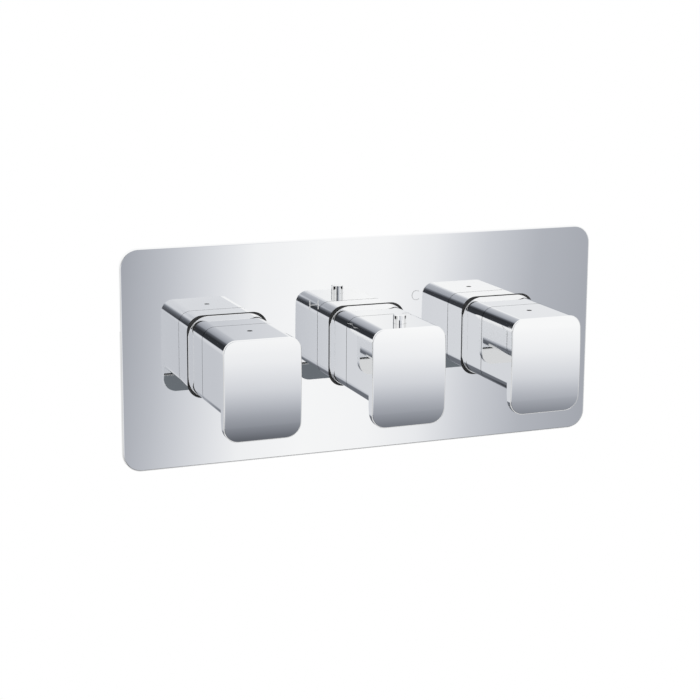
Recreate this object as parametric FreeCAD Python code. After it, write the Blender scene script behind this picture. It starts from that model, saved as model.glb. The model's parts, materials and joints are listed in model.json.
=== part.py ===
import FreeCAD, Part
import math
import os

os.makedirs("parts", exist_ok=True)

V = FreeCAD.Vector

# Millimetres. X runs along the cover plate to the right, Y runs into the wall, Z is up.
# The origin is on the plate's wall-side face, on the middle spindle's axis.

# ---- cover plate -----------------------------------------------------------------------
plate_width = 300.0
plate_height = 130.0
plate_corner = 11.0
plate_thickness = 3.0
plate_edge_round = 0.8
rim_width = 3.5
pocket_depth = 1.2
gasket_width = 7.0
station_pitch = 87.0

# ---- square handle blocks and their sleeves --------------------------------------------
block_side = 45.0
block_corner = 7.5
sleeve_length = 24.0
joint_gap = 0.5
sleeve_wall = 2.2
foot_width = 1.6
foot_rise = 1.8
foot_sink = 1.5
foot_edge_round = 0.2
foot_ease = 4.8
seam_width = 0.35
seal_sink = 0.15
sleeve_tail = 3.0
sleeve_web = 9.0
sleeve_ring_section = 1.0

# ---- lever face ------------------------------------------------------------------------
projection = 64.8
face_crown = 1.3
lip_drop = 12.2
lip_corner = 8.8
lip_thickness = 5.9
lip_taper = 2.4
face_edge_round = 0.7
handle_wall = 3.0
front_wall = 5.8

# ---- hub, adapter and their screws -----------------------------------------------------
hub_radius = 12.0
hub_length = 24.0
adapter_square = 12.0
adapter_radius = 8.0
adapter_square_length = 16.0
adapter_overlap = 1.0
screw_head_radius = 3.4
screw_head_length = 2.6
screw_radius = 2.0
screw_length = 13.0
screw_web = 3.0
grub_radius = 1.5
grub_length = 6.0
grub_setback = 23.3
grub_pillar = 8.0
hex_key = 1.5

# ---- spindles --------------------------------------------------------------------------
spindle_radius = 4.0
spline_tip = 4.7
spline_teeth = 20
spline_length = 15.0
spindle_ring_section = 0.8
fit_gap = 0.06
coil_steps = 12
slip_gap = 0.1

# ---- valve body ------------------------------------------------------------------------
neck_radius = 18.0
neck_front = -8.0
neck_rear = 20.0
boss_wall = 5.4
body_wall = 5.0
gallery_radius = 6.5
gallery_wall = 4.5
gallery_overhang = 25.0
foot_spacing = 100.0
foot_hole_rise = 46.0
foot_hole_radius = 2.75
mount_foot_width = 18.0
mount_foot_thickness = 6.0
plug_hex = 15.0
plug_head = 7.0
plug_shank = 9.0

# ---- flow cartridges -------------------------------------------------------------------
flow_radius = 12.0
flow_hex = 27.0
flow_hex_length = 7.0
flow_chamber_radius = 9.5
flow_chamber_start = 14.0
collar_length = 3.0
window_length = 8.0
disc_length = 3.0
disc_radius = 9.2
port_sweep = 80.0
port_hub = 2.6
port_rim = 1.6
flow_tail = 2.0
flow_ring_section = 0.9
flow_ring_depth = 6.0
seat_seal_length = 6.0
drive_width = 3.0
drive_bite = 1.0
seat_chamber_radius = 7.5
seat_chamber_length = 18.0

# ---- thermostatic cartridge ------------------------------------------------------------
thermo_radius = 15.0
thermo_bore = 11.5
thermo_hex = 34.0
thermo_hex_length = 6.0
nose_radius = 10.0
nose_length = 16.0
band_length = 10.0
band_gap = 4.0
band_radius = 13.6
band_start = 21.0
cartridge_ring_section = 0.9
collar_radius = 9.0
stem_radius = 6.0
stem_length = 14.0
nut_length = 18.0
nut_start = 2.0
nut_cup_radius = 8.0
nut_cup_depth = 5.4
plunger_length = 2.0
piston_radius = 1.5
piston_length = 4.0
shoulder_radius = 7.0
shoulder_length = 3.0
capsule_radius = 4.5
capsule_length = 18.0
shuttle_wall = 1.5
shuttle_web = 2.5
shuttle_length = 12.0
end_ring_length = 2.0
slide_gap = 0.2
thread_lead = 2.5

# ---- safety stop and override button ---------------------------------------------------
stop_ring_outer = 14.0
stop_ring_length = 8.0
finger_inner = 15.6
finger_outer = 18.0
finger_reach = 6.0
finger_angle = 14.0
cold_travel = 110.0
hot_travel = 38.0
button_radius = 3.75
button_rise = 5.0
button_travel = 2.4
button_setback = 15.3
button_clear = 0.1
tongue_width = 3.0
tongue_height = 2.0
tongue_tip = 3.5
button_spring_radius = 2.4
button_spring_wire = 0.3

# ---- unions, check valves and filters --------------------------------------------------
inlet_x = 28.0
port_offset = 6.0
inlet_thread_radius = 12.06
inlet_thread_length = 16.0
inlet_hex = 32.0
inlet_shank_radius = 12.0
inlet_shank_length = 26.0
inlet_boss_radius = 16.0
inlet_top = 20.0
inlet_bore = 9.0
port_radius = 5.0
port_drop = 8.0
outlet_thread_radius = 9.32
outlet_thread_length = 14.0
outlet_hex = 27.0
outlet_shank_radius = 9.5
outlet_shank_length = 14.0
outlet_boss_radius = 14.0
outlet_base = 20.0
outlet_bore = 6.5
union_collar = 2.0
check_wall = 1.6
check_length = 19.0
check_seat = 2.0
check_seat_radius = 5.0
poppet_radius = 6.6
poppet_thickness = 1.5
poppet_stem = 1.4
poppet_travel = 3.0
check_spring_radius = 3.0
check_spring_wire = 0.35
filter_thickness = 1.0
filter_hole = 0.95

# ---- places worked out from the sizes above --------------------------------------------
stations = [-station_pitch, 0.0, station_pitch]
plate_front = -plate_thickness
sleeve_front = plate_front - sleeve_length
handle_rear = sleeve_front - joint_gap
crown_y = plate_front - projection
lip_back = crown_y + lip_thickness
front_inner = crown_y + front_wall
block_top = block_side / 2
block_bottom = -block_side / 2
lip_bottom = block_bottom - lip_drop
grub_y = crown_y + grub_setback
button_y = crown_y + button_setback

adapter_end = front_inner + 5.0
hub_rear = front_inner + hub_length
square_rear = adapter_end + adapter_square_length
spline_end = square_rear
flow_spline_start = spline_end + spline_length
thermo_nose_front = neck_front - thermo_hex_length - nose_length
thermo_spline_start = thermo_nose_front - adapter_overlap

collar_start = flow_chamber_start + slip_gap
collar_end = collar_start + collar_length
window_end = collar_end + window_length
moving_disc_start = window_end
fixed_disc_start = moving_disc_start + disc_length
fixed_disc_end = fixed_disc_start + disc_length
flow_end = fixed_disc_end + flow_tail
seat_y = fixed_disc_end + seat_seal_length
flow_pocket_end = seat_y + seat_chamber_length
outlet_y = (collar_end + window_end) / 2 + 3.0

hot_band = band_start
cold_band = band_start + band_length + band_gap
thermo_end = cold_band + band_length + 7.0
inlet_y = hot_band + band_length + band_gap / 2
hot_port_y = inlet_y - port_offset
cold_port_y = inlet_y + port_offset
gallery_y = thermo_end + 4.0
thermo_pocket_end = gallery_y + gallery_radius + 0.5
gallery_outer = gallery_radius + gallery_wall
gallery_half = station_pitch + gallery_overhang
thermo_boss = thermo_radius + boss_wall
body_rear = thermo_pocket_end + body_wall
foot_rear = body_rear + 2.0

nut_end = nut_start + nut_length
cup_start = nut_end - nut_cup_depth
plunger_end = nut_end + 1.0
plunger_start = plunger_end - plunger_length
piston_end = plunger_end + piston_length
shoulder_end = piston_end + shoulder_length
web_end = shoulder_end + shuttle_web
end_ring_start = thermo_end - end_ring_length
shuttle_radius = thermo_bore - slide_gap

stop_ring_front = thermo_nose_front - 0.5
tongue_bottom = finger_inner + 0.2
tongue_top = tongue_bottom + tongue_height
tongue_rear = stop_ring_front - 2.0
spring_seat_z = adapter_square / 2 + 1.6

inlet_mouth = -(inlet_top + inlet_shank_length + inlet_thread_length)
inlet_step = inlet_mouth + inlet_thread_length
inlet_shank_top = -inlet_top
filter_radius = inlet_thread_radius + 0.5
check_bottom = inlet_step
check_top = check_bottom + check_length
seat_top = check_bottom + check_seat
outlet_shank_top = outlet_base + outlet_shank_length
outlet_mouth = outlet_shank_top + union_collar + outlet_thread_length
inlets = [("hot", -inlet_x, hot_port_y), ("cold", inlet_x, cold_port_y)]
spindle_ring_y = neck_front - 3.5
spindle_ring_radius = spindle_radius + fit_gap + spindle_ring_section


# ---- shape helpers ---------------------------------------------------------------------
def cylinder(radius, start, length, direction):
    return Part.makeCylinder(radius, length, V(*start), V(*direction))


def rod_y(radius, y0, y1, x=0.0, z=0.0):
    return cylinder(radius, (x, y0, z), y1 - y0, (0, 1, 0))


def rod_z(radius, z0, z1, x=0.0, y=0.0):
    return cylinder(radius, (x, y, z0), z1 - z0, (0, 0, 1))


def rod_x(radius, x0, x1, y=0.0, z=0.0):
    return cylinder(radius, (x0, y, z), x1 - x0, (1, 0, 0))


def ring_y(outer, inner, y0, y1):
    return rod_y(outer, y0, y1).cut(rod_y(inner, y0 - 1, y1 + 1))


def box(x0, x1, y0, y1, z0, z1):
    return Part.makeBox(x1 - x0, y1 - y0, z1 - z0, V(x0, y0, z0))


def moved(shape, x=0.0, y=0.0, z=0.0):
    copy = shape.copy()
    copy.translate(V(x, y, z))
    return copy


def prism_y(points, y0, y1):
    corners = [V(x, y0, z) for x, z in points]
    wire = Part.makePolygon(corners + [corners[0]])
    return Part.Face(wire).extrude(V(0, y1 - y0, 0))


def hexagon(flats):
    radius = flats / math.sqrt(3)
    turns = [math.radians(60 * k) for k in range(6)]
    return [(radius * math.cos(t), radius * math.sin(t)) for t in turns]


def hex_y(flats, y0, y1):
    return prism_y(hexagon(flats), y0, y1)


def hex_z(flats, z0, z1, x=0.0, y=0.0):
    corners = [V(x + a, y + b, z0) for a, b in hexagon(flats)]
    wire = Part.makePolygon(corners + [corners[0]])
    return Part.Face(wire).extrude(V(0, 0, z1 - z0))


def spline_y(root, tip, y0, y1):
    points = []
    for tooth in range(spline_teeth):
        for share, radius in [(0.0, root), (0.2, tip), (0.5, tip), (0.7, root)]:
            turn = 2 * math.pi * (tooth + share) / spline_teeth
            points.append((radius * math.cos(turn), radius * math.sin(turn)))
    return prism_y(points, y0, y1)


def corner_arc(cx, cz, radius, start_degrees, y):
    angles = [math.radians(start_degrees + step) for step in (0, 45, 90)]
    points = [V(cx + radius * math.cos(a), y, cz + radius * math.sin(a)) for a in angles]
    return Part.Arc(*points).toShape()


def rounded_prism(half_width, top, bottom, top_corner, bottom_corner, y0, y1):
    # rounded rectangle seen from the front, carried from y0 to y1
    xr = half_width - top_corner
    xb = half_width - bottom_corner
    arcs = [
        corner_arc(xr, top - top_corner, top_corner, 0, y0),
        corner_arc(-xr, top - top_corner, top_corner, 90, y0),
        corner_arc(-xb, bottom + bottom_corner, bottom_corner, 180, y0),
        corner_arc(xb, bottom + bottom_corner, bottom_corner, 270, y0),
    ]
    edges = []
    for k, arc in enumerate(arcs):
        following = arcs[(k + 1) % 4]
        edges.append(arc)
        edges.append(Part.makeLine(arc.Vertexes[1].Point, following.Vertexes[0].Point))
    wire = Part.Wire(Part.__sortEdges__(edges))
    return Part.Face(wire).extrude(V(0, y1 - y0, 0))


def square_prism(side, corner, y0, y1):
    half = side / 2
    return rounded_prism(half, half, -half, corner, corner, y0, y1)


def slice_y(radius, from_up, sweep, y0, y1):
    # pie slice, its angle counted clockwise from straight up as seen from the front
    wedge = Part.makeCylinder(radius, y1 - y0, V(0, 0, 0), V(0, 0, 1), sweep)
    wedge.rotate(V(0, 0, 0), V(0, 0, 1), 90 - from_up - sweep)
    wedge.rotate(V(0, 0, 0), V(1, 0, 0), 90)
    return moved(wedge, 0, y1, 0)


def o_ring(section, ring_radius, y):
    return Part.makeTorus(ring_radius, section, V(0, y, 0), V(0, 1, 0))


def coil(radius, wire, turns, length, foot, into_wall=False):
    # one unbroken wire of flat facets, wound from its foot, upwards or into the wall
    steps = int(turns * coil_steps)
    points = []
    for k in range(steps + 1):
        turn = 2 * math.pi * turns * k / steps
        across = radius * math.cos(turn)
        aside = radius * math.sin(turn)
        height = wire + (length - 2 * wire) * k / steps
        offset = V(across, height, aside) if into_wall else V(across, aside, height)
        points.append(foot + offset)
    heading = (points[1] - points[0]).normalize()
    outward = V(1, 0, 0)
    outward = (outward - heading * outward.dot(heading)).normalize()
    sideways = heading.cross(outward)
    ring = []
    for k in range(6):
        a = math.radians(60 * k)
        ring.append(points[0] + outward * (wire * math.cos(a)) + sideways * (wire * math.sin(a)))
    section = Part.makePolygon(ring + [ring[0]])
    return Part.makePolygon(points).makePipeShell([section], True, False, 1)


def keep(shape, name):
    shape.exportStep("parts/" + name + ".step")


# ---- cover plate and its gasket --------------------------------------------------------
def make_cover_plate():
    top = plate_height / 2
    half = plate_width / 2
    body = rounded_prism(half, top, -top, plate_corner, plate_corner, plate_front, 0)
    front_edges = [e for e in body.Edges if abs(e.BoundBox.YMax - plate_front) < 1e-6]
    body = body.makeFillet(plate_edge_round, front_edges)
    inner_corner = plate_corner - rim_width
    pocket = rounded_prism(
        half - rim_width, top - rim_width, rim_width - top, inner_corner, inner_corner, -pocket_depth, 1
    )
    body = body.cut(pocket)
    land = opening_side / 2 + 4.0
    for x in stations:
        pad = rounded_prism(land, land, -land, opening_corner + 3.0, opening_corner + 3.0, -pocket_depth, 0)
        body = body.fuse(moved(pad, x))
    for x in stations:
        hole = square_prism(opening_side, opening_corner, plate_front - 1, 1)
        body = body.cut(moved(hole, x))
    return body.removeSplitter()


def make_plate_gasket():
    top = plate_height / 2 - rim_width
    half = plate_width / 2 - rim_width
    corner = plate_corner - rim_width
    outer = rounded_prism(half, top, -top, corner, corner, -pocket_depth, 0)
    inner_corner = 2.0
    inner = rounded_prism(
        half - gasket_width, top - gasket_width, gasket_width - top, inner_corner, inner_corner, -5, 5
    )
    return outer.cut(inner)


foot_side = block_side + 2 * foot_width
foot_corner = block_corner + foot_ease
opening_side = foot_side + 2 * seam_width
opening_corner = block_corner + foot_width + seam_width / 2
foot_front = plate_front - foot_rise
foot_back = plate_front + foot_sink


# ---- sleeve, its rubber seal and its O-ring ---------------------------------------------
def make_sleeve():
    outer = square_prism(block_side, block_corner, sleeve_front, sleeve_tail)
    foot = square_prism(foot_side, foot_corner, foot_front, foot_back)
    foot_edges = [e for e in foot.Edges if abs(e.BoundBox.YMax - foot_front) < 1e-6]
    foot = foot.makeFillet(foot_edge_round, foot_edges)
    inner_side = block_side - 2 * sleeve_wall
    cavity = square_prism(inner_side, block_corner - sleeve_wall, sleeve_front - 1, sleeve_tail - sleeve_web)
    shell = outer.fuse(foot).cut(cavity)
    shell = shell.cut(rod_y(neck_radius + 0.15, sleeve_front, sleeve_tail + 1))
    ring_y0 = sleeve_tail - sleeve_web / 2
    groove = ring_y(
        neck_radius + 2 * sleeve_ring_section,
        neck_radius - 1,
        ring_y0 - sleeve_ring_section - 0.2,
        ring_y0 + sleeve_ring_section + 0.2,
    )
    return shell.cut(groove)


def make_sleeve_seal():
    outer = square_prism(opening_side, opening_corner, plate_front + seal_sink, 0)
    step = square_prism(foot_side, foot_corner, foot_front - 1, foot_back)
    through = square_prism(block_side, block_corner, foot_front - 1, 1)
    return outer.cut(step).cut(through)


def make_sleeve_rings():
    ring = o_ring(sleeve_ring_section, neck_radius + sleeve_ring_section, sleeve_tail - sleeve_web / 2)
    return Part.makeCompound([moved(ring, x) for x in stations])


# ---- lever handle -----------------------------------------------------------------------
def crowned_face():
    half_height = (block_top - lip_bottom) / 2
    middle_z = (block_top + lip_bottom) / 2
    crown_radius = (half_height ** 2 + face_crown ** 2) / (2 * face_crown)
    blank = rounded_prism(
        block_side / 2, block_top, lip_bottom, block_corner, lip_corner, crown_y - 1, lip_back
    )
    drum = rod_x(crown_radius, -block_side, block_side, crown_y + crown_radius, middle_z)
    return blank.common(drum)


def lip_relief():
    # the wedge that thins the hanging lip towards its lower end
    low = lip_bottom - 1
    points = [
        V(-block_side, lip_back + 1, block_bottom),
        V(-block_side, lip_back, block_bottom),
        V(-block_side, lip_back - lip_taper, low),
        V(-block_side, lip_back + 1, low),
    ]
    return Part.Face(Part.makePolygon(points + [points[0]])).extrude(V(2 * block_side, 0, 0))


def handle_shell():
    block = square_prism(block_side, block_corner, lip_back - 0.5, handle_rear)
    face = crowned_face().cut(lip_relief())
    shell = block.fuse(face).removeSplitter()
    rim = [
        e for e in shell.Edges
        if e.BoundBox.YMax < lip_back - 1.0 and e.BoundBox.YMin < lip_back - 3.0
        and not edge_is_inside(e)
    ]
    shell = shell.makeFillet(face_edge_round, rim)
    inner_side = block_side - 2 * handle_wall
    cavity = square_prism(inner_side, block_corner - handle_wall, front_inner, handle_rear + 1)
    return shell.cut(cavity)


def edge_is_inside(edge):
    # corner seams that run front to back are left sharp
    return edge.BoundBox.YLength > 4 * face_crown


def make_handle(grub_up, has_button):
    shell = handle_shell()
    side = 1 if grub_up else -1
    hub = rod_y(hub_radius, front_inner, hub_rear)
    low = hub_radius - 2.0
    high = block_side / 2 - handle_wall / 2
    z_span = sorted([side * low, side * high])
    pillar = box(
        -grub_pillar / 2, grub_pillar / 2, grub_y - grub_pillar / 2, grub_y + grub_pillar / 2, *z_span
    )
    body = shell.fuse(hub).fuse(pillar)
    for turn in (0, 90, 180, 270):
        if has_button and turn == 0:
            continue
        rib = box(-1.25, 1.25, front_inner, hub_rear - 6.0, hub_radius - 1, block_side / 2 - handle_wall / 2)
        rib.rotate(V(0, 0, 0), V(0, 1, 0), turn)
        body = body.fuse(rib)
    socket = adapter_square / 2 + slip_gap
    body = body.cut(box(-socket, socket, adapter_end, hub_rear + 1, -socket, socket))
    body = body.cut(rod_y(adapter_radius + 0.3, square_rear - 0.3, hub_rear + 1))
    hole_span = sorted([0.0, side * (block_side / 2 + 5)])
    body = body.cut(rod_z(grub_radius + 0.1, hole_span[0], hole_span[1], 0, grub_y))
    if has_button:
        body = body.cut(rod_z(button_radius + button_clear, tongue_top - 3, block_top + 5, 0, button_y))
        seat = button_spring_radius + button_spring_wire + 0.3
        body = body.cut(rod_z(seat, spring_seat_z, tongue_top, 0, button_y))
    return body.removeSplitter()


def make_grub_screw(grub_up):
    tip = adapter_square / 2
    screw = rod_z(grub_radius, tip, tip + grub_length, 0, grub_y)
    key = hex_z(hex_key, tip + grub_length - 2.0, tip + grub_length + 1, 0, grub_y)
    screw = screw.cut(key)
    if not grub_up:
        screw.rotate(V(0, 0, 0), V(0, 1, 0), 180)
    return screw


def make_adapter(spline_start):
    rear = spline_start - adapter_overlap
    half = adapter_square / 2
    square = box(-half, half, adapter_end, square_rear, -half, half)
    barrel = rod_y(adapter_radius, square_rear - 0.01, rear)
    body = square.fuse(barrel)
    body = body.cut(spline_y(spindle_radius + slip_gap, spline_tip + slip_gap, square_rear, rear + 1))
    body = body.cut(rod_y(screw_radius + 0.2, adapter_end - 1, square_rear + 1))
    return body.cut(rod_y(screw_head_radius + 0.4, adapter_end - 1, square_rear - screw_web))


def make_adapter_screw():
    seat = square_rear - screw_web
    head = rod_y(screw_head_radius, seat - screw_head_length, seat)
    head_edges = [e for e in head.Edges if abs(e.BoundBox.YMax - (seat - screw_head_length)) < 1e-6]
    head = head.makeFillet(0.8, head_edges)
    shank = rod_y(screw_radius - 0.05, seat - 0.01, seat + screw_length)
    slot = box(-0.5, 0.5, seat - screw_head_length - 1, seat - 1.2, -2.2, 2.2)
    cross = box(-2.2, 2.2, seat - screw_head_length - 1, seat - 1.2, -0.5, 0.5)
    return head.fuse(shank).cut(slot).cut(cross)


def splined_end(spline_start):
    # splined part of a spindle, drilled for the adapter's screw
    toothed = spline_y(spindle_radius, spline_tip, spline_end, spline_start)
    return toothed


def drilled(shape):
    return shape.cut(rod_y(screw_radius, spline_end - 1, spline_end + screw_length - screw_web + 1.5))


# ---- flow cartridge -----------------------------------------------------------------------
def make_flow_housing():
    body = rod_y(flow_radius, neck_front, flow_end)
    body = body.fuse(hex_y(flow_hex, neck_front - flow_hex_length, neck_front))
    body = body.cut(rod_y(spindle_radius + fit_gap, neck_front - flow_hex_length - 1, flow_chamber_start + 1))
    body = body.cut(rod_y(flow_chamber_radius, flow_chamber_start, flow_end + 1))
    for turn in (0, 180):
        window = box(-5.5, 5.5, collar_end + 0.5, window_end - 0.5, 0, flow_radius + 2)
        window.rotate(V(0, 0, 0), V(0, 1, 0), turn)
        body = body.cut(window)
    floor = flow_radius + slip_gap - 2 * flow_ring_section
    width = flow_ring_section + 0.15
    body = body.cut(ring_y(flow_radius + 1, floor, flow_ring_depth - width, flow_ring_depth + width))
    return body.cut(spindle_ring_groove())


def make_flow_spindle():
    shaft = rod_y(spindle_radius, flow_spline_start - 0.01, collar_start + 0.01)
    collar = rod_y(disc_radius, collar_start, collar_end)
    blade = box(-6, 6, collar_end - 0.01, moving_disc_start + drive_bite, -drive_width / 2, drive_width / 2)
    body = splined_end(flow_spline_start).fuse(shaft).fuse(collar).fuse(blade)
    return drilled(body)


def disc_with_ports(y0, y1, start_degrees):
    body = rod_y(disc_radius, y0, y1)
    for turn in (0, 180):
        port = slice_y(disc_radius - port_rim, start_degrees + turn, port_sweep, y0 - 1, y1 + 1)
        port = port.cut(rod_y(port_hub, y0 - 2, y1 + 2))
        body = body.cut(port)
    return body


def make_moving_disc():
    body = disc_with_ports(moving_disc_start, fixed_disc_start, 5)
    slot_half = drive_width / 2 + slip_gap
    slot = box(-6.2, 6.2, moving_disc_start - 1, moving_disc_start + drive_bite, -slot_half, slot_half)
    return body.cut(slot)


def make_fixed_disc():
    return disc_with_ports(fixed_disc_start, fixed_disc_end, 95)


def make_flow_rings():
    ring = o_ring(flow_ring_section, flow_radius + slip_gap - flow_ring_section, flow_ring_depth)
    return Part.makeCompound([moved(ring, x) for x in (-station_pitch, station_pitch)])


def make_spindle_rings():
    ring = o_ring(spindle_ring_section, spindle_ring_radius, spindle_ring_y)
    return Part.makeCompound([moved(ring, x) for x in stations])


def spindle_ring_groove():
    width = spindle_ring_section + 0.15
    outer = spindle_ring_radius + spindle_ring_section
    return rod_y(outer, spindle_ring_y - width, spindle_ring_y + width)


def make_seat_seal():
    return ring_y(disc_radius, disc_radius - 3.0, fixed_disc_end, seat_y)


# ---- thermostatic cartridge ----------------------------------------------------------------
def ring_places():
    return [hot_band - 4.0, hot_band + band_length + band_gap / 2, cold_band + band_length + 3.0]


def make_thermo_housing():
    body = rod_y(thermo_radius, neck_front, thermo_end)
    for start in (hot_band, cold_band):
        body = body.cut(ring_y(thermo_radius + 1, band_radius, start, start + band_length))
    for y in ring_places():
        depth = thermo_radius - 2 * cartridge_ring_section + slip_gap
        width = cartridge_ring_section + 0.15
        body = body.cut(ring_y(thermo_radius + 1, depth, y - width, y + width))
    hex_front = neck_front - thermo_hex_length
    body = body.fuse(hex_y(thermo_hex, hex_front, neck_front))
    body = body.fuse(rod_y(nose_radius, thermo_nose_front, hex_front))
    body = body.cut(rod_y(spindle_radius + fit_gap, thermo_nose_front - 1, neck_front + 6))
    body = body.cut(rod_y(thermo_bore, neck_front + 4.0, thermo_end + 1))
    for start in (hot_band, cold_band):
        for turn in (0, 60, 120, 180, 240, 300):
            slot = box(-3.2, 3.2, start + 1, start + band_length - 1, 0, thermo_radius + 2)
            slot.rotate(V(0, 0, 0), V(0, 1, 0), turn)
            body = body.cut(slot)
    return body.cut(spindle_ring_groove()).removeSplitter()


def make_thermo_rings():
    radius = thermo_radius + slip_gap - cartridge_ring_section
    rings = [o_ring(cartridge_ring_section, radius, y) for y in ring_places()]
    return Part.makeCompound(rings)


def make_thermo_spindle():
    collar_front = neck_front + 4.0 + slip_gap
    shaft = rod_y(spindle_radius, thermo_spline_start - 0.01, collar_front + 0.1)
    collar = rod_y(collar_radius, collar_front, 0.0)
    stem = rod_y(stem_radius, -0.01, stem_length)
    body = splined_end(thermo_spline_start).fuse(shaft).fuse(collar).fuse(stem)
    return body.cut(rod_y(screw_radius, spline_end - 1, spline_end + screw_length - screw_web + 1.5))


def make_setting_nut():
    body = rod_y(shuttle_radius, nut_start, nut_end)
    body = body.cut(rod_y(stem_radius + fit_gap, nut_start - 1, nut_end + 1))
    body = body.cut(rod_y(nut_cup_radius, cup_start, nut_end + 1))
    for turn in (45, 135, 225, 315):
        flute = rod_y(1.6, nut_start - 1, nut_end + 1, shuttle_radius + 0.6, 0)
        flute.rotate(V(0, 0, 0), V(0, 1, 0), turn)
        body = body.cut(flute)
    return body


def make_overload_spring():
    length = plunger_start - cup_start
    return coil(nut_cup_radius - 1.3, 0.6, 2.0, length, V(0, cup_start, 0), True)


def make_plunger():
    return rod_y(nut_cup_radius - 0.3, plunger_start, plunger_end)


def make_wax_element():
    body = rod_y(piston_radius, plunger_end, piston_end + 0.01)
    body = body.fuse(rod_y(shoulder_radius, piston_end, shoulder_end))
    body = body.fuse(rod_y(capsule_radius, shoulder_end - 0.01, shoulder_end + capsule_length))
    tip = [e for e in body.Edges if abs(e.BoundBox.YMin - shoulder_end - capsule_length) < 1e-6]
    return body.makeFillet(1.5, tip)


def make_shuttle():
    sleeve_start = piston_end + 0.5
    body = ring_y(shuttle_radius, shuttle_radius - shuttle_wall, sleeve_start, sleeve_start + shuttle_length)
    body = body.fuse(ring_y(shuttle_radius, capsule_radius + slip_gap, shoulder_end, web_end))
    for k in range(6):
        hole = rod_y(1.1, shoulder_end - 1, web_end + 1, capsule_radius + 2.7, 0)
        hole.rotate(V(0, 0, 0), V(0, 1, 0), 60 * k)
        body = body.cut(hole)
    return body


def make_return_spring():
    length = end_ring_start - web_end
    return coil(shuttle_radius - shuttle_wall - 1.3, 0.7, 5.0, length, V(0, web_end, 0), True)


def make_end_ring():
    return ring_y(thermo_bore - 0.02, capsule_radius + 1.6, end_ring_start, thermo_end)


# ---- 38 degree stop and override button ---------------------------------------------------
def stop_finger(from_up, inner):
    front = stop_ring_front - finger_reach
    rear = stop_ring_front + stop_ring_length
    arm = slice_y(finger_outer, from_up, finger_angle, front, rear)
    arm = arm.cut(rod_y(inner, front - 1, stop_ring_front))
    return arm.cut(rod_y(nose_radius + 1, front - 2, rear + 1))


def make_stop_ring():
    rear = stop_ring_front + stop_ring_length
    body = ring_y(stop_ring_outer, nose_radius, stop_ring_front, rear)
    half_tongue = math.degrees(math.atan2(tongue_width / 2 + 0.25, tongue_bottom))
    hot = stop_finger(-half_tongue - finger_angle, finger_inner)
    cold = stop_finger(cold_travel + half_tongue, finger_inner - 3.0)
    hot_end = stop_finger(-hot_travel - half_tongue - finger_angle, finger_inner - 3.0)
    return body.fuse(hot).fuse(cold).fuse(hot_end).removeSplitter()


def make_override_button():
    head = rod_z(button_radius, tongue_bottom, block_top + button_rise, 0, button_y)
    top = [e for e in head.Edges if abs(e.BoundBox.ZMin - block_top - button_rise) < 1e-6]
    head = head.makeFillet(0.4, top)
    half = tongue_width / 2
    tongue = box(-half, half, button_y, tongue_rear, tongue_bottom, tongue_top)
    return head.fuse(tongue)


def make_button_spring():
    length = tongue_bottom - spring_seat_z
    return coil(button_spring_radius, button_spring_wire, 4.0, length, V(0, button_y, spring_seat_z))


# ---- valve body ---------------------------------------------------------------------------
def body_outside():
    solid = rod_x(gallery_outer, -gallery_half, gallery_half, gallery_y)
    for x in stations:
        solid = solid.fuse(rod_y(neck_radius, neck_front, neck_rear + 1, x))
    solid = solid.fuse(rod_y(thermo_boss, neck_rear, body_rear))
    for x in (-station_pitch, station_pitch):
        solid = solid.fuse(rod_y(neck_radius, neck_rear, flow_pocket_end + 4, x))
        solid = solid.fuse(rod_z(outlet_boss_radius, 0, outlet_shank_top, x, outlet_y))
    for name, x, port_y in inlets:
        solid = solid.fuse(rod_z(inlet_boss_radius, inlet_step + union_collar, -port_drop, x, inlet_y))
        solid = solid.fuse(Part.makeSphere(inlet_boss_radius, V(x, inlet_y, -port_drop)))
        span = sorted([x, 0.0])
        solid = solid.fuse(rod_x(port_radius + 5.0, span[0], span[1], port_y, -port_drop))
    for x in (-foot_spacing / 2, foot_spacing / 2):
        solid = solid.fuse(mount_foot(x))
    return solid


def mount_foot(x):
    half = mount_foot_width / 2
    rise = foot_hole_rise / 2 + half
    blank = rounded_prism(half, rise, -rise, half - 0.5, half - 0.5, foot_rear - mount_foot_thickness, foot_rear)
    web = box(-half, half, gallery_y, foot_rear - 1, -gallery_outer * 0.8, gallery_outer * 0.8)
    return moved(blank.fuse(web), x)


def make_valve_body():
    solid = body_outside()
    solid = solid.cut(rod_y(thermo_radius + slip_gap, neck_front - 1, thermo_pocket_end))
    for x in (-station_pitch, station_pitch):
        solid = solid.cut(rod_y(flow_radius + slip_gap, neck_front - 1, seat_y, x))
        solid = solid.cut(rod_y(seat_chamber_radius, seat_y - 1, flow_pocket_end, x))
        solid = solid.cut(rod_z(outlet_shank_radius + slip_gap, outlet_base, outlet_shank_top + 1, x, outlet_y))
        solid = solid.cut(rod_z(outlet_bore, 0, outlet_base + 1, x, outlet_y))
    solid = solid.cut(rod_x(gallery_radius, -gallery_half - 1, gallery_half + 1, gallery_y))
    for x0 in (-gallery_half - 1, gallery_half - plug_shank):
        solid = solid.cut(rod_x(gallery_radius + 1.5, x0, x0 + plug_shank + 1, gallery_y))
    for name, x, port_y in inlets:
        solid = solid.cut(rod_z(inlet_shank_radius + slip_gap, inlet_step, inlet_shank_top, x, inlet_y))
        solid = solid.cut(rod_z(inlet_bore, inlet_shank_top - 1, -port_drop + port_radius, x, inlet_y))
        span = sorted([x, 0.0])
        solid = solid.cut(rod_x(port_radius, span[0], span[1], port_y, -port_drop))
    for x in (-foot_spacing / 2, foot_spacing / 2):
        for z in (-foot_hole_rise / 2, foot_hole_rise / 2):
            solid = solid.cut(rod_y(foot_hole_radius, gallery_y, foot_rear + 1, x, z))
    return solid.removeSplitter()


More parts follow.
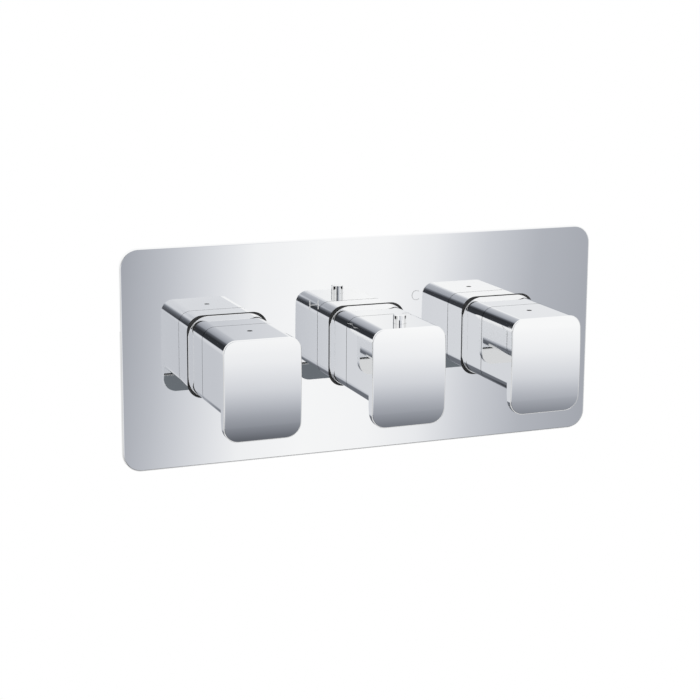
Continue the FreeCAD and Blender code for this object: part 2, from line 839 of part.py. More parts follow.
def make_gallery_plugs():
    shank = rod_x(gallery_radius + 1.5 - 0.05, gallery_half - plug_shank, gallery_half + 0.01, gallery_y)
    head = moved(hex_y(plug_hex, 0, plug_head), 0, 0, 0)
    head.rotate(V(0, 0, 0), V(0, 0, 1), -90)
    head.translate(V(gallery_half, gallery_y, 0))
    plug = shank.fuse(head)
    other = plug.mirror(V(0, 0, 0), V(1, 0, 0))
    return Part.makeCompound([plug, other])


# ---- unions, check valves and filters ------------------------------------------------------
def make_inlet_union(x):
    y = inlet_y
    body = rod_z(inlet_shank_radius, inlet_step - 0.01, inlet_shank_top, x, y)
    body = body.fuse(hex_z(inlet_hex, inlet_mouth, inlet_step + union_collar, x, y))
    body = body.cut(rod_z(inlet_thread_radius, inlet_mouth - 1, inlet_step, x, y))
    body = body.cut(rod_z(filter_radius + slip_gap, inlet_step - filter_thickness, inlet_step, x, y))
    return body.cut(rod_z(inlet_bore, inlet_mouth, inlet_shank_top + 1, x, y))


def make_outlet_union(x):
    body = rod_z(outlet_shank_radius, outlet_base, outlet_shank_top + 0.01, x, outlet_y)
    body = body.fuse(hex_z(outlet_hex, outlet_shank_top, outlet_mouth, x, outlet_y))
    thread_base = outlet_mouth - outlet_thread_length
    body = body.cut(rod_z(outlet_thread_radius, thread_base, outlet_mouth + 1, x, outlet_y))
    return body.cut(rod_z(outlet_bore, outlet_base - 1, thread_base + 1, x, outlet_y))


def make_check_cage(x, y):
    outer = inlet_bore - 0.05
    body = rod_z(outer, check_bottom, check_top, x, y)
    body = body.cut(rod_z(outer - check_wall, seat_top, check_top - 2.0, x, y))
    body = body.cut(rod_z(check_seat_radius, check_bottom - 1, seat_top + 1, x, y))
    body = body.cut(rod_z(poppet_stem + fit_gap, check_top - 3, check_top + 1, x, y))
    for k in range(4):
        turn = math.radians(45 + 90 * k)
        reach = outer - check_wall - 2.0
        body = body.cut(rod_z(1.7, check_top - 3, check_top + 1, x + reach * math.cos(turn), y + reach * math.sin(turn)))
    return body


def make_poppet(x, y):
    disc = rod_z(poppet_radius, seat_top, seat_top + poppet_thickness, x, y)
    stem = rod_z(poppet_stem, seat_top + 0.5, check_top - 0.5, x, y)
    return disc.fuse(stem)


def make_check_spring(x, y):
    start = seat_top + poppet_thickness
    length = check_top - 2.0 - start
    return coil(check_spring_radius, check_spring_wire, 5.0, length, V(x, y, start))


def make_filter(x, y):
    body = rod_z(filter_radius, inlet_step - filter_thickness, inlet_step, x, y)
    for ring, count in ((0.0, 1), (2.8, 6), (5.6, 12)):
        for k in range(count):
            turn = 2 * math.pi * k / count
            hx = x + ring * math.cos(turn)
            hy = y + ring * math.sin(turn)
            body = body.cut(rod_z(filter_hole, inlet_step - 3, inlet_step + 1, hx, hy))
    return body


# ---- writing every piece --------------------------------------------------------------------
keep(make_cover_plate(), "cover_plate")
keep(make_plate_gasket(), "plate_gasket")
keep(make_valve_body(), "valve_body")
keep(make_gallery_plugs(), "gallery_plugs")
keep(make_sleeve_rings(), "sleeve_o_rings")
keep(make_flow_rings(), "flow_o_rings")
keep(make_spindle_rings(), "spindle_o_rings")

sleeve = make_sleeve()
seal = make_sleeve_seal()
for x, side in zip(stations, ("left", "middle", "right")):
    keep(moved(sleeve, x), side + "_sleeve")
    keep(moved(seal, x), side + "_sleeve_seal")

flow_handle = make_handle(True, False)
flow_pieces = [
    ("handle", flow_handle),
    ("grub_screw", make_grub_screw(True)),
    ("adapter", make_adapter(flow_spline_start)),
    ("adapter_screw", make_adapter_screw()),
    ("flow_spindle", make_flow_spindle()),
    ("moving_disc", make_moving_disc()),
    ("fixed_disc", make_fixed_disc()),
    ("seat_seal", make_seat_seal()),
    ("flow_housing", make_flow_housing()),
]
for x, side in ((-station_pitch, "left"), (station_pitch, "right")):
    for name, shape in flow_pieces:
        keep(moved(shape, x), side + "_" + name)
    keep(make_outlet_union(x), side + "_outlet_union")

keep(make_handle(False, True), "temperature_handle")
keep(make_grub_screw(False), "temperature_grub_screw")
keep(make_adapter(thermo_spline_start), "temperature_adapter")
keep(make_adapter_screw(), "temperature_adapter_screw")
keep(make_thermo_spindle(), "temperature_spindle")
keep(make_override_button(), "override_button")
keep(make_button_spring(), "button_spring")
keep(make_stop_ring(), "stop_ring")
keep(make_thermo_housing(), "thermostat_housing")
keep(make_thermo_rings(), "thermostat_o_rings")
keep(make_setting_nut(), "setting_nut")
keep(make_overload_spring(), "overload_spring")
keep(make_plunger(), "plunger")
keep(make_wax_element(), "wax_element")
keep(make_shuttle(), "shuttle")
keep(make_return_spring(), "return_spring")
keep(make_end_ring(), "end_ring")

for name, x, port_y in inlets:
    keep(make_inlet_union(x), name + "_inlet_union")
    keep(make_check_cage(x, inlet_y), name + "_check_cage")
    keep(make_poppet(x, inlet_y), name + "_check_poppet")
    keep(make_check_spring(x, inlet_y), name + "_check_spring")
    keep(make_filter(x, inlet_y), name + "_inlet_filter")
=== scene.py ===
# %% [markdown]
# # A thermostatic shower valve, dressed and lit
#
# The solids of the valve come from its engineering model: every plate, sleeve, lever and
# spring is already there, in metres, standing where it belongs. This lesson gives them the
# finishes that the real metal, rubber and ceramic have, adds the few things that are too fine
# for the engineering model, and lights them as a catalogue studio would.
#
# Chrome is the main subject. A mirror has hardly a look of its own: it shows the room. So most
# of the work is not on the chrome but on the white cards that it reflects.

# %% Load the frame
import bpy
import bmesh
import json
import math
from mathutils import Matrix, Vector


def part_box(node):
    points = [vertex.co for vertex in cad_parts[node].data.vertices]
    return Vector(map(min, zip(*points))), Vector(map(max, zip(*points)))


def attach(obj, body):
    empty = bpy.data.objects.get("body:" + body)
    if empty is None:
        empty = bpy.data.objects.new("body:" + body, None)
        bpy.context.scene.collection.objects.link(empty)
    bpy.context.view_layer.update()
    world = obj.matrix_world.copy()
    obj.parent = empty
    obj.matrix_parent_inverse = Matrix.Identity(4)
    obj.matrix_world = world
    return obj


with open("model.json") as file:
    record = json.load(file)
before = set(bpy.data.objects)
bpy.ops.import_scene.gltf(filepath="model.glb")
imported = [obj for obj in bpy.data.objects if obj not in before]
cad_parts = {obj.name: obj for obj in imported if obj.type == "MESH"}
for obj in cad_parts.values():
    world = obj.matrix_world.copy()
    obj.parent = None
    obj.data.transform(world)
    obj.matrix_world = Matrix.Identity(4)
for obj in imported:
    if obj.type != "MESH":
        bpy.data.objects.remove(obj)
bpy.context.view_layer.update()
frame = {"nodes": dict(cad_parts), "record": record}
nodes = frame["nodes"]
finish_of = {part["node"]: part["material_slot"] for part in frame["record"]["subparts"]}


# %% Put something new into the scene
def put_in_scene(name, data):
    piece = bpy.data.objects.new(name, data)
    bpy.context.scene.collection.objects.link(piece)
    return piece


def object_from(name, shape):
    """The object made from a bmesh, which is freed."""
    mesh = bpy.data.meshes.new(name)
    shape.to_mesh(mesh)
    shape.free()
    return put_in_scene(name, mesh)


# %% [markdown]
# ## Where the camera stands
#
# The plate's four edges and the lever fronts in the photograph fix the viewpoint: about a
# metre away, to the left and slightly above, with an 85 mm lens. The horizon sits a little
# above the middle of the picture, which a view camera gets by sliding its back down. Blender
# calls that a shift, and 8% of the width is enough here. The camera's place and its two
# directions are what a separate fitting program found from those edges.

# %% Camera
PICTURE = 700
LENS, SENSOR, SHIFT = 85.0, 36.0, -0.08
PLATE_FRONT = -0.003
LEVER_FRONT = Vector((0, -0.068, 0))

camera_data = bpy.data.cameras.new("studio_camera")
camera = put_in_scene("studio_camera", camera_data)
bpy.context.scene.camera = camera
camera_data.sensor_width = SENSOR
camera_data.lens = LENS
camera_data.shift_y = SHIFT

camera_place = Vector((-0.36528, -0.89994, 0.21284))
sight = Vector((0.36108, 0.91397, -0.18514)).normalized()
sideways = Vector((0.93047, -0.36632, 0.00633))
sideways = (sideways - sight * sideways.dot(sight)).normalized()
upwards = sideways.cross(sight)
turn = Matrix((sideways, upwards, -sight)).transposed().to_4x4()
camera.matrix_world = Matrix.Translation(camera_place) @ turn
print("camera to the middle lever:", round((LEVER_FRONT - camera_place).length, 3), "m")


def pixel_on_plate(u, v):
    """The point of the plate's front that shows at a place in the 700 x 700 picture."""
    focal = PICTURE * LENS / SENSOR
    middle_u, middle_v = PICTURE / 2, PICTURE / 2 + SHIFT * PICTURE
    ray = sight * focal + sideways * (u - middle_u) + upwards * (middle_v - v)
    return camera_place + ray * ((PLATE_FRONT - camera_place.y) / ray.y)


# %% [markdown]
# ## Writing shader maths as sums
#
# A material in Blender is a web of nodes, and a web is hard to read as code. The small class
# below wraps one socket, so that `0.3 + 0.1 * grain` adds the Math nodes by itself. Colours
# must not go through it, because a Math node keeps only their grey, so they have a mixing
# helper of their own.

# %% Sockets that can be added and multiplied
class Wire:
    def __init__(self, workshop, socket):
        self.workshop = workshop
        self.socket = socket

    def sum(self, operation, first, second):
        return self.workshop.add("ShaderNodeMath", {"operation": operation}, {0: first, 1: second})

    def __add__(self, other):
        return self.sum("ADD", self, other)

    def __sub__(self, other):
        return self.sum("SUBTRACT", self, other)

    def __rsub__(self, other):
        return self.sum("SUBTRACT", other, self)

    def __mul__(self, other):
        return self.sum("MULTIPLY", self, other)

    def or_more(self, other):
        return self.sum("MAXIMUM", self, other)

    def over(self, low, high):
        """0 below low, 1 above high, and a soft slope between."""
        settings = {"interpolation_type": "SMOOTHSTEP"}
        sockets = {"Value": self, "From Min": low, "From Max": high}
        return self.workshop.add("ShaderNodeMapRange", settings, sockets)

    __radd__ = __add__
    __rmul__ = __mul__


# %% One method for every other node
# A Mix node has one set of sockets for each kind of value. These are the places of the colours.
COLOUR_A, COLOUR_B, MIXED_COLOUR = 6, 7, 2


class Workshop:
    def __init__(self, name, tree_owner=None):
        self.owner = tree_owner or bpy.data.materials.new(name)
        self.owner.use_nodes = True
        self.tree = self.owner.node_tree
        self.tree.nodes.clear()

    def add(self, kind, settings=None, sockets=None, take=0):
        node = self.tree.nodes.new(kind)
        for name, value in (settings or {}).items():
            if name == "stops":
                self.set_stops(node.color_ramp, value)
            elif name == "blend_curve":
                node.color_ramp.interpolation = value
            else:
                setattr(node, name, value)
        for name, value in (sockets or {}).items():
            place = node.inputs[name]
            if isinstance(value, Wire):
                self.tree.links.new(value.socket, place)
            else:
                place.default_value = value
        return Wire(self, node.outputs[take]) if node.outputs else node

    def set_stops(self, ramp, stops):
        while len(ramp.elements) > 1:
            ramp.elements.remove(ramp.elements[-1])
        ramp.elements[0].position = stops[0][0]
        ramp.elements[0].color = rgba(stops[0][1])
        for place, value in stops[1:]:
            ramp.elements.new(place).color = rgba(value)

    def place(self):
        return self.add("ShaderNodeTexCoord", take="Object")

    def axis(self, name):
        return self.add("ShaderNodeSeparateXYZ", None, {"Vector": self.place()}, take=name)

    def stretched(self, scale, turn=(0, 0, 0)):
        sockets = {"Vector": self.place(), "Scale": scale, "Rotation": turn}
        return self.add("ShaderNodeMapping", None, sockets)

    def noise(self, scale, detail=3.0, rough=0.5, point=None):
        place = point or self.place()
        sockets = {"Vector": place, "Scale": scale, "Detail": detail, "Roughness": rough}
        return self.add("ShaderNodeTexNoise", None, sockets)

    def colours(self, share, first, second, blend="MIX"):
        settings = {"data_type": "RGBA", "blend_type": blend}
        sockets = {"Factor": share, COLOUR_A: rgba(first), COLOUR_B: rgba(second)}
        return self.add("ShaderNodeMix", settings, sockets, take=MIXED_COLOUR)

    def bump(self, height, distance, strength):
        sockets = {"Height": height, "Distance": distance, "Strength": strength}
        return self.add("ShaderNodeBump", None, sockets)

    def metal_or_paint(self, **sockets):
        names = {word.replace("_", " "): value for word, value in sockets.items()}
        surface = self.add("ShaderNodeBsdfPrincipled", None, names)
        self.add("ShaderNodeOutputMaterial", None, {"Surface": surface})
        return self.owner


def rgba(value):
    if isinstance(value, Wire):
        return value
    if isinstance(value, (int, float)):
        return (value, value, value, 1.0)
    return (*value, 1.0)


def light_of(tone):
    """The light that gives a tone from 0 to 255 in the picture, by the sRGB curve."""
    share = tone / 255
    return ((share + 0.055) / 1.055) ** 2.4 if share > 0.04045 else share / 12.92


# %% [markdown]
# ## Chrome
#
# The plate, sleeves, levers and button are brass or zinc, polished and then plated with nickel
# and a very thin layer of chromium, which gives the cool tint. Plated parts are not perfect
# mirrors: polishing leaves broad, shallow waves that bend straight reflections a little, and
# handling leaves hairlines that only soften the highlights. Both are too fine to model, so
# they are a bump a few hundredths of a millimetre high and a small change in roughness.

# %% Polished chrome
def make_chrome():
    work = Workshop("polished_chrome")
    haze = work.noise(38.0, 2.0)
    wipes = work.noise(9.0, 2.0, point=work.stretched((1.0, 14.0, 22.0), (0.2, 0.5, 0.9)))
    waves = work.noise(11.0, 1.0)
    tint = work.colours(haze, (0.925, 0.930, 0.934), (0.94, 0.943, 0.946))
    return work.metal_or_paint(
        Base_Color=tint,
        Metallic=1.0,
        Roughness=0.016 + 0.012 * haze + 0.014 * wipes.over(0.55, 0.8),
        Normal=work.bump(waves, 0.00012, 0.35),
    )


# %% [markdown]
# ## Brass
#
# The body is sand-cast brass and the cartridges, unions and spindles are turned from bar. Cast
# skin is grainy and dull with darker hollows, while turned faces are bright with fine rings.
# Turned pieces have a material of their own. The body's is cast, and a mask on Y turns it into
# a machined face at the necks, where the sleeves slide over them.

# %% Cast and machined brass
NECK_ENDS, CASTING_STARTS = 0.006, 0.009


def bare_brass(work):
    """What both kinds share: a cloudy tone, the lathe's rings and the bright colour."""
    cloud = work.noise(60.0, 4.0, 0.6)
    rings = work.noise(1.0, 2.0, point=work.stretched((260.0, 2600.0, 260.0)))
    return cloud, rings, work.colours(cloud, (0.66, 0.49, 0.22), (0.78, 0.60, 0.30))


def brass_bump(work, height):
    return work.bump(height, 0.00022, 0.8)


def make_turned_brass():
    work = Workshop("turned_brass")
    cloud, rings, bright = bare_brass(work)
    return work.metal_or_paint(
        Base_Color=bright,
        Metallic=1.0,
        Roughness=0.2 + 0.08 * rings,
        Normal=brass_bump(work, 0.12 * rings),
    )


def make_cast_brass():
    work = Workshop("cast_brass")
    cloud, rings, bright = bare_brass(work)
    sand = work.noise(900.0, 3.0, 0.6)
    skin = work.axis("Y").over(NECK_ENDS, CASTING_STARTS)
    dull = work.colours(cloud.over(0.35, 0.7), (0.42, 0.29, 0.12), (0.66, 0.48, 0.22))
    return work.metal_or_paint(
        Base_Color=work.colours(skin, bright, dull),
        Metallic=1.0,
        Roughness=0.2 + 0.08 * rings + skin * (0.16 + 0.12 * sand),
        Normal=brass_bump(work, skin * sand + (1 - skin) * (0.12 * rings)),
    )


# %% [markdown]
# ## Rubber, steel, ceramic and moulded plastic
#
# These show only at the seams and from behind, but each still behaves as it should: rubber is
# dark with a faint bloom, drawn steel has streaks along the wire, lapped ceramic is white and
# smooth, and moulded plastic has the fine spark-eroded grain of its mould.

# %% Rubber
def make_rubber():
    work = Workshop("seal_rubber")
    bloom = work.noise(240.0, 3.0)
    grain = work.noise(2600.0, 2.0)
    return work.metal_or_paint(
        Base_Color=work.colours(bloom, (0.012, 0.012, 0.013), (0.035, 0.035, 0.036)),
        Roughness=0.5 + 0.2 * bloom,
        Normal=work.bump(grain, 0.00006, 0.5),
    )


# %% Drawn steel
def make_steel():
    work = Workshop("stainless_steel")
    streaks = work.noise(1.0, 3.0, point=work.stretched((2200.0, 2200.0, 160.0)))
    cloud = work.noise(150.0)
    return work.metal_or_paint(
        Base_Color=work.colours(cloud, (0.50, 0.51, 0.53), (0.62, 0.63, 0.65)),
        Metallic=1.0,
        Roughness=0.2 + 0.14 * streaks,
        Normal=work.bump(streaks, 0.00003, 0.5),
    )


# %% Lapped ceramic
def make_ceramic():
    work = Workshop("disc_ceramic")
    speck = work.noise(1400.0, 2.0)
    return work.metal_or_paint(
        Base_Color=work.colours(speck, (0.86, 0.85, 0.81), (0.90, 0.89, 0.86)),
        Roughness=0.12 + 0.1 * speck,
        Normal=work.bump(speck, 0.00001, 0.4),
    )


# %% Moulded plastic
def make_plastic():
    work = Workshop("grey_plastic")
    spark = work.noise(1900.0, 3.0, 0.6)
    flow = work.noise(70.0, 2.0)
    return work.metal_or_paint(
        Base_Color=work.colours(flow, (0.145, 0.152, 0.16), (0.175, 0.183, 0.19)),
        Roughness=0.42 + 0.16 * spark,
        Normal=work.bump(spark, 0.00004, 0.6),
    )


# %% Dress every node
cast_brass = make_cast_brass()
turned_brass = make_turned_brass()
finishes = {
    "polished_chrome": make_chrome(),
    "valve_brass": turned_brass,
    "seal_rubber": make_rubber(),
    "stainless_steel": make_steel(),
    "disc_ceramic": make_ceramic(),
    "grey_plastic": make_plastic(),
}
for name, node in nodes.items():
    finish = cast_brass if name == "valve_body" else finishes[finish_of[name]]
    for place in node.material_slots:
        place.material = finish
print("finishes:", sorted(finishes))

# %% [markdown]
# ## The H and C beside the temperature lever
#
# On the real plate the two letters are lightly etched, so they look like a change of gloss.
# Here each is a letter outline turned into a mesh about a tenth of a millimetre thick, set on
# the plate's front. A text object's letters are curves, so they become a mesh first, and
# their place is then written into that mesh.

# %% Hot and cold letters
def make_etch():
    work = Workshop("etched_mark")
    frost = work.noise(3000.0, 2.0)
    return work.metal_or_paint(
        Base_Color=work.colours(frost, (0.78, 0.79, 0.80), (0.86, 0.86, 0.87)),
        Metallic=0.3,
        Roughness=0.45 + 0.1 * frost,
        Normal=work.bump(frost, 0.00002, 0.4),
    )


etch = make_etch()

# Where each letter stands in the 700 x 700 picture: left, right, top and bottom.
HOT_PLACE = (309.3, 318.6, 300.6, 309.8)
COLD_PLACE = (411.6, 419.0, 290.6, 300.4)
LETTER_THICKNESS = 0.00012


def letter_outline(letter, name):
    words = bpy.data.curves.new(name, "FONT")
    words.body = letter
    words.extrude = 0.5
    words.offset = -0.02
    words.resolution_u = 8
    holder = bpy.data.objects.new(name + "_outline", words)
    mesh = bpy.data.meshes.new_from_object(holder)
    bpy.data.objects.remove(holder)
    return mesh


def mark_letter(letter, name, picture_place):
    left, right, top, bottom = picture_place
    mesh = letter_outline(letter, name)
    corners = [v.co.copy() for v in mesh.vertices]
    low = Vector((min(c[k] for c in corners) for k in range(3)))
    high = Vector((max(c[k] for c in corners) for k in range(3)))
    start = pixel_on_plate(left, bottom)
    width = (pixel_on_plate(right, bottom) - start).length
    height = (pixel_on_plate(left, top) - start).length
    scale = (width / (high.x - low.x), height / (high.y - low.y), LETTER_THICKNESS, 1)
    stand = Matrix.Rotation(math.radians(90), 4, "X")
    place = Matrix.Translation(start) @ stand @ Matrix.Diagonal(scale)
    mesh.transform(place @ Matrix.Translation(-low))
    mark = put_in_scene(name, mesh)
    mesh.materials.clear()
    mesh.materials.append(etch)
    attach(mark, "valve")
    print(name, "is", round(width * 1000, 1), "by", round(height * 1000, 1), "mm")


mark_letter("H", "hot_letter", HOT_PLACE)
mark_letter("C", "cold_letter", COLD_PLACE)

# %% [markdown]
# ## Pipe threads in the unions
#
# The engineering model leaves the four union bores plain at the thread's smallest diameter. A
# shallow helical ridge, at the 14 turns to the inch of a G1/2 or G3/4 thread, shows how the
# pipes screw in. It stands just inside that diameter, its foot is sunk a little way into the
# brass, and it fades out at both ends. The two lower ridges wind right-handed, as pipe threads
# do. The two upper ones wind left-handed, which a real thread wouldn't.

# %% Thread sizes
THREAD_PITCH = 0.0254 / 14
STEPS_PER_TURN = 48
FADE_STEPS = STEPS_PER_TURN // 2
THREAD_INSET = 0.0014
RIDGE_HEIGHT, RIDGE_SUNK, RIDGE_HALF_FOOT = 0.0004, 0.00005, 0.00062
INLET_BORE, INLET_DEPTH = 0.01206, 0.016
OUTLET_BORE, OUTLET_DEPTH = 0.00932, 0.014


# %% Threads
def ridge_section(bore, fade):
    """The ridge's three corners, as reach from the bore's axis and lift along it."""
    foot = RIDGE_HALF_FOOT * (0.3 + 0.7 * fade)
    base = bore + RIDGE_SUNK
    return [(base, -foot), (bore - RIDGE_HEIGHT * fade, 0.0), (base, foot)]


def thread_ridge(name, union, bore, depth, upward):
    low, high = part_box(union)
    middle_x, middle_y = (low[0] + high[0]) / 2, (low[1] + high[1]) / 2
    mouth, inwards = (high[2], -1) if upward else (low[2], 1)
    count = int((depth - 2 * THREAD_INSET) / THREAD_PITCH * STEPS_PER_TURN)
    shape = bmesh.new()
    rings = []
    for step in range(count + 1):
        angle = math.tau * step / STEPS_PER_TURN
        fade = min(1.0, step / FADE_STEPS, (count - step) / FADE_STEPS)
        z = mouth + inwards * (THREAD_INSET + THREAD_PITCH * step / STEPS_PER_TURN)
        ring = []
        for reach, lift in ridge_section(bore, fade):
            x = middle_x + reach * math.cos(angle)
            y = middle_y + reach * math.sin(angle)
            ring.append(shape.verts.new((x, y, z + lift)))
        rings.append(ring)
    for first, second in zip(rings, rings[1:]):
        for k in range(3):
            after = (k + 1) % 3
            shape.faces.new((first[k], first[after], second[after], second[k]))
    shape.faces.new(rings[0])
    shape.faces.new(rings[-1])
    bmesh.ops.recalc_face_normals(shape, faces=shape.faces)
    thread = object_from(name, shape)
    thread.data.materials.append(turned_brass)
    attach(thread, "valve")
    print(name, "turns:", round(count / STEPS_PER_TURN, 1))


for side in ("hot", "cold"):
    thread_ridge(side + "_inlet_thread", side + "_inlet_union", INLET_BORE, INLET_DEPTH, False)
for side in ("left", "right"):
    thread_ridge(side + "_outlet_thread", side + "_outlet_union", OUTLET_BORE, OUTLET_DEPTH, True)

# %% [markdown]
# ## The studio: what the chrome sees
#
# A mirror facing the camera shows what stands beside and behind the camera. A product
# photographer therefore hangs large cards there, lit with a soft slope from white to grey, and
# puts separate ones for the flat plate and for the levers. The cards here do the same: they
# glow by themselves, only reflections see them, and light linking says which surfaces each
# belongs to. Nothing is painted on the chrome, so in any other view the reflections move as
# they would in the room.
#
# The slopes' numbers come from the photograph and weren't chosen freely. Separate measuring
# programs read tones off its chrome and worked out where on the cards each belongs.
# PLATE_LIGHT and PLATE_LEAN were fitted to 559 pixels, rounded. The three lists of tones were
# drawn through measured ones, and SIDE_LIGHT may have been too. So the cards suit that one
# view best.

# %% Cards
def flat_card(name, corners, glow):
    shape = bmesh.new()
    shape.faces.new([shape.verts.new(corner) for corner in corners])
    card = object_from(name, shape)
    card.data.materials.append(glow)
    for ray in ("camera", "diffuse", "transmission", "volume_scatter", "shadow"):
        setattr(card, "visible_" + ray, False)
    return card


def upright(y, left, right, low, high):
    return [(left, y, low), (right, y, low), (right, y, high), (left, y, high)]


def belongs_to(card, names):
    group = bpy.data.collections.new("lit_by_" + card.name)
    for name in names:
        group.objects.link(nodes[name] if name in nodes else bpy.data.objects[name])
    card.light_linking.receiver_collection = group


# %% How a card glows
def slope(work, across, low, high, stops):
    """A smooth run of light values along a direction, given as place and light."""
    sockets = {"Value": across, "From Min": low, "From Max": high}
    position = work.add("ShaderNodeMapRange", None, sockets)
    ramp = [((place - low) / (high - low), value) for place, value in stops]
    settings = {"stops": ramp, "blend_curve": "LINEAR"}
    return work.add("ShaderNodeValToRGB", settings, {"Fac": position})


def glowing(work, colour, added=False):
    """A card's finished material. An added one lets the card behind it shine through."""
    light = work.add("ShaderNodeEmission", None, {"Color": colour, "Strength": 1.0})
    if added:
        clear = work.add("ShaderNodeBsdfTransparent", None, {"Color": rgba(1.0)})
        light = work.add("ShaderNodeAddShader", None, {0: light, 1: clear})
    work.add("ShaderNodeOutputMaterial", None, {"Surface": light})
    work.owner.cycles.emission_sampling = "NONE"
    return work.owner


# %% Sizes of the two front cards
# Places are in metres, along X across a card and along Z up it. A pair is where a soft change
# from one part of a card to the next starts and ends.
CARD_LEFT, CARD_RIGHT, CARD_LOW, CARD_HIGH = -1.7, 2.4, -2.8, 1.7
CARD_BEFORE_PLATE, CARD_BEFORE_LEVERS = -2.4, -2.401
SIDE_ENDS, PLATE_LIGHT_ENDS = 0.2, 1.7
FACES_LOW, FACES_HIGH = -1.4, 0.2
PLATE_LEAN, FACE_LEAN = 0.1, 0.21
PLATE_FRONT_BEGINS, LEVER_FRONT_BEGINS = (0.12, 0.25), (0.38, 0.46)
DARKEST_ENDS, DARK_ENDS = (-1.5, -1.3), (-1.05, -0.86)
HORIZON, HORIZON_LIFT, LIFT_BEGINS = (-0.10, 0.02), 0.48, (0.1, 0.35)
PALE_LEFT, PALE_RIGHT, PALE_TOP = (-0.7, -0.45), (0.55, 0.8), (0.8, 0.98)

# %% Slopes on the two front cards
# Each stop is a place and the light there, or a place and a tone from 0 to 255 that the chrome
# should show.
CHROME_SHARE = 0.93
TWO_BOUNCES = CHROME_SHARE * CHROME_SHARE
COOL_TINT = (0.93, 1.0, 1.17)
DARK, DARKEST, PALE_TONE, PALE_SHARE = 0.17, 0.012, 214, 0.85

PLATE_LIGHT = [
    (0.40, 0.38), (0.50, 0.54), (0.60, 0.73), (0.70, 0.92), (0.85, 0.98),
    (1.0, 0.96), (1.12, 0.87), (1.25, 0.64), (1.38, 0.48), (1.6, 0.39),
]
SIDE_LIGHT = [(-1.7, 0.72), (-1.1, 0.76), (-0.97, 0.74), (-0.85, 0.62), (-0.5, 0.62), (0.2, 0.88)]
TOP_TONES = [
    (-1.3, 52), (-0.85, 46), (-0.6, 92), (-0.45, 146), (-0.1, 168),
    (0.5, 187), (0.8, 213), (0.97, 240), (1.15, 226), (2.4, 228),
]
MIRRORED_TOP_TONES = [
    (-1.3, 56), (-0.95, 56), (-0.75, 112), (-0.6, 158), (-0.1, 168),
    (0.3, 178), (0.8, 230), (0.97, 242), (1.15, 240), (2.4, 232),
]
FACE_TONES = [(-1.22, 100), (-0.93, 164), (-0.65, 210), (-0.36, 235), (-0.08, 247)]
slopes = (PLATE_LIGHT, SIDE_LIGHT, TOP_TONES, MIRRORED_TOP_TONES, FACE_TONES)
print("stops on the cards:", sum(map(len, slopes)))


# %% Two front cards
def high_light(work, across, tones):
    stops = [(x, light_of(tone) / TWO_BOUNCES) for x, tone in tones]
    return slope(work, across, CARD_LEFT, CARD_RIGHT, stops)


def plate_light(work, across, height):
    """Low and high light on the card that the plate and its letters mirror."""
    side = slope(work, across, CARD_LEFT, SIDE_ENDS, SIDE_LIGHT)
    leaning = across - PLATE_LEAN * (height + 0.55)
    front = slope(work, leaning, SIDE_ENDS, PLATE_LIGHT_ENDS, PLATE_LIGHT)
    low = work.colours(across.over(*PLATE_FRONT_BEGINS), side, front)
    below = work.colours(height.over(*DARKEST_ENDS), DARKEST, DARK)
    low = work.colours(height.over(*DARK_ENDS), below, low)
    return low, high_light(work, across, TOP_TONES)


def lever_light(work, across, height):
    """Low and high light on the card that all other nodes mirror."""
    side = slope(work, across, CARD_LEFT, SIDE_ENDS, SIDE_LIGHT)
    leaning = height + FACE_LEAN * (across - 0.88)
    faces = [(z, light_of(tone) / CHROME_SHARE) for z, tone in FACE_TONES]
    front = slope(work, leaning, FACES_LOW, FACES_HIGH, faces)
    beside = across.over(*LEVER_FRONT_BEGINS)
    reach = height.over(*DARK_ENDS)
    reach = reach + (1 - reach) * beside
    low = work.colours(reach, DARK, work.colours(beside, side, front))
    high = high_light(work, across, MIRRORED_TOP_TONES)
    pale = (1 - height.over(*PALE_TOP)) * across.over(*PALE_LEFT) * (1 - across.over(*PALE_RIGHT))
    return low, work.colours(PALE_SHARE * pale, high, light_of(PALE_TONE) / TWO_BOUNCES)


def front_card(name, y, lights, added):
    work = Workshop(name + "_glow")
    across, height = work.axis("X"), work.axis("Z")
    low, high = lights(work, across, height)
    lift = HORIZON_LIFT * across.over(*LIFT_BEGINS)
    glow = work.colours((height - lift).over(*HORIZON), low, high)
    cool = work.colours(glow, COOL_TINT, 1.0)
    glow = glowing(work, work.colours(1.0, glow, cool, "MULTIPLY"), added)
    return flat_card(name, upright(y, CARD_LEFT, CARD_RIGHT, CARD_LOW, CARD_HIGH), glow)


plate_card = front_card("plate_card", CARD_BEFORE_PLATE, plate_light, True)
lever_card = front_card("lever_card", CARD_BEFORE_LEVERS, lever_light, False)
belongs_to(plate_card, ["cover_plate", "hot_letter", "cold_letter"])
belongs_to(lever_card, [name for name in nodes if name != "cover_plate"])
print("front cards:", plate_card.name, "and", lever_card.name)

# %% [markdown]
# ## Smaller cards
#
# A low card behind the valve is what the backs of the lever lips mirror. Two tall cards at the
# sides give the chrome its greys from other angles, and fade to white towards their front and
# back edges. None of the three is linked, so the reflections of every surface show them.

# %% Low card behind and cards at both sides
SIDE_CARD_X = 2.6
SIDE_FRONT, SIDE_BACK, SIDE_LOW, SIDE_HIGH = -2.35, 1.9, -2.6, 1.8
SIDE_CARD_LIGHT = [(SIDE_LOW, 0.40), (-1.2, 0.50), (-0.3, 0.62), (0.5, 0.78), (SIDE_HIGH, 0.95)]


def low_card_glow():
    work = Workshop("low_card_glow")
    tone = work.colours(work.axis("X").over(-0.12, -0.05), 0.8, (0.155, 0.172, 0.19))
    return glowing(work, tone)


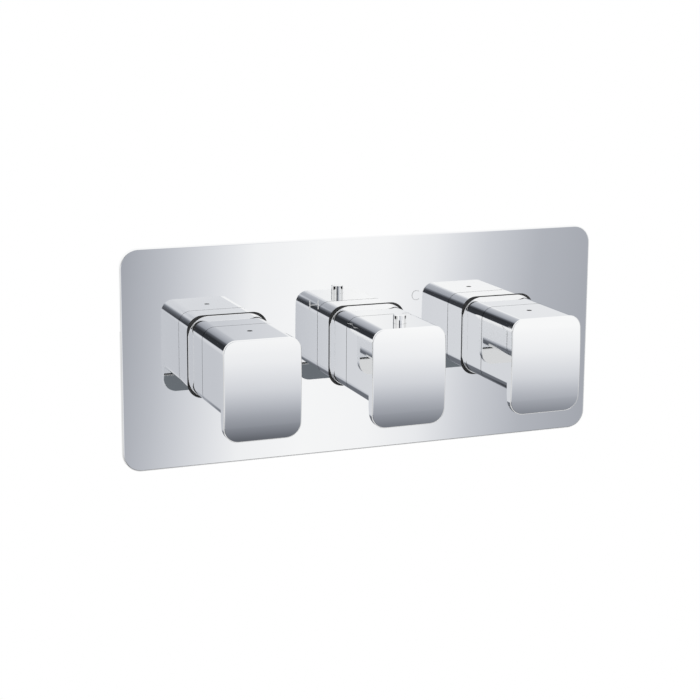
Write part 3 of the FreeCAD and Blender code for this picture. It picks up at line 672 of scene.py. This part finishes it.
def side_card(name, x):
    work = Workshop(name + "_glow")
    depth = work.axis("Y")
    tone = slope(work, work.axis("Z"), SIDE_LOW, SIDE_HIGH, SIDE_CARD_LIGHT)
    ends = (1 - depth.over(-2.3, -1.1)) + depth.over(0.7, 1.8)
    corners = [
        (x, SIDE_FRONT, SIDE_LOW), (x, SIDE_BACK, SIDE_LOW),
        (x, SIDE_BACK, SIDE_HIGH), (x, SIDE_FRONT, SIDE_HIGH),
    ]
    flat_card(name, corners, glowing(work, work.colours(ends, tone, 1.0)))


flat_card("low_card", upright(0.45, -1.2, 0.8, -0.58, -0.08), low_card_glow())
side_card("left_card", -SIDE_CARD_X)
side_card("right_card", SIDE_CARD_X)

# %% [markdown]
# ## Floor
#
# A round of pale paper below the valve takes its shadow, and fades out before its rim.

# %% Floor
FLOOR_RADIUS, FLOOR_HEIGHT = 0.85, -0.6
FADE_STARTS, FADE_ENDS = 0.35, 0.82

shape = bmesh.new()
bmesh.ops.create_circle(shape, cap_ends=True, radius=FLOOR_RADIUS, segments=96)
bmesh.ops.translate(shape, verts=shape.verts, vec=(0, 0, FLOOR_HEIGHT))
floor = object_from("floor", shape)


def make_floor():
    work = Workshop("pale_floor")
    flat = {0: work.place(), 1: (1, 1, 0)}
    centre = work.add("ShaderNodeVectorMath", {"operation": "MULTIPLY"}, flat)
    distance = work.add("ShaderNodeVectorMath", {"operation": "LENGTH"}, {0: centre}, take="Value")
    grain = work.noise(140.0, 3.0)
    tone = work.colours(grain, (0.84, 0.84, 0.84), (0.88, 0.88, 0.88))
    paper = work.add("ShaderNodeBsdfDiffuse", None, {"Color": tone})
    clear = work.add("ShaderNodeBsdfTransparent", None, {"Color": rgba(1.0)})
    share = distance.over(FADE_STARTS, FADE_ENDS)
    faded = work.add("ShaderNodeMixShader", None, {0: share, 1: paper, 2: clear})
    work.add("ShaderNodeOutputMaterial", None, {"Surface": faded})
    return work.owner


floor.data.materials.append(make_floor())
print("floor at", FLOOR_HEIGHT, "m")

# %% [markdown]
# ## Plain soft light
#
# The rubber, brass and plastic need ordinary light as well. Three large area lamps and an even
# world give it, kept low enough for a white surface to stay just under white. The world is
# pure white only to the camera and to reflections, which is where the white background comes
# from.

# %% World and lamps
world = bpy.data.worlds.new("studio_world")
bpy.context.scene.world = world
work = Workshop("studio_world", world)
ray_kinds = ("Is Camera Ray", "Is Glossy Ray", "Is Transmission Ray")
rays = [work.add("ShaderNodeLightPath", take=kind) for kind in ray_kinds]
seen = rays[0].or_more(rays[1]).or_more(rays[2])
sockets = {"Color": rgba(1.0), "Strength": 0.5 + 0.5 * seen}
glow = work.add("ShaderNodeBackground", None, sockets)
work.add("ShaderNodeOutputWorld", None, {"Surface": glow})


def soft_lamp(name, place, target, size, watts):
    lamp = bpy.data.lights.new(name, "AREA")
    lamp.shape = "SQUARE"
    lamp.size = size
    lamp.energy = watts
    holder = put_in_scene(name, lamp)
    holder.location = place
    aim = Vector(target) - Vector(place)
    holder.rotation_euler = aim.to_track_quat("-Z", "Y").to_euler()
    holder.visible_glossy = False


soft_lamp("key_lamp", (-1.3, -1.5, 1.7), (0, 0, 0), size=1.3, watts=16.0)
soft_lamp("fill_lamp", (1.6, -1.2, 0.9), (0, 0, 0), size=1.5, watts=8.0)
soft_lamp("back_lamp", (0.4, 1.8, 1.2), (0, 0.04, 0), size=1.2, watts=9.0)
bpy.context.scene.view_settings.view_transform = "Standard"
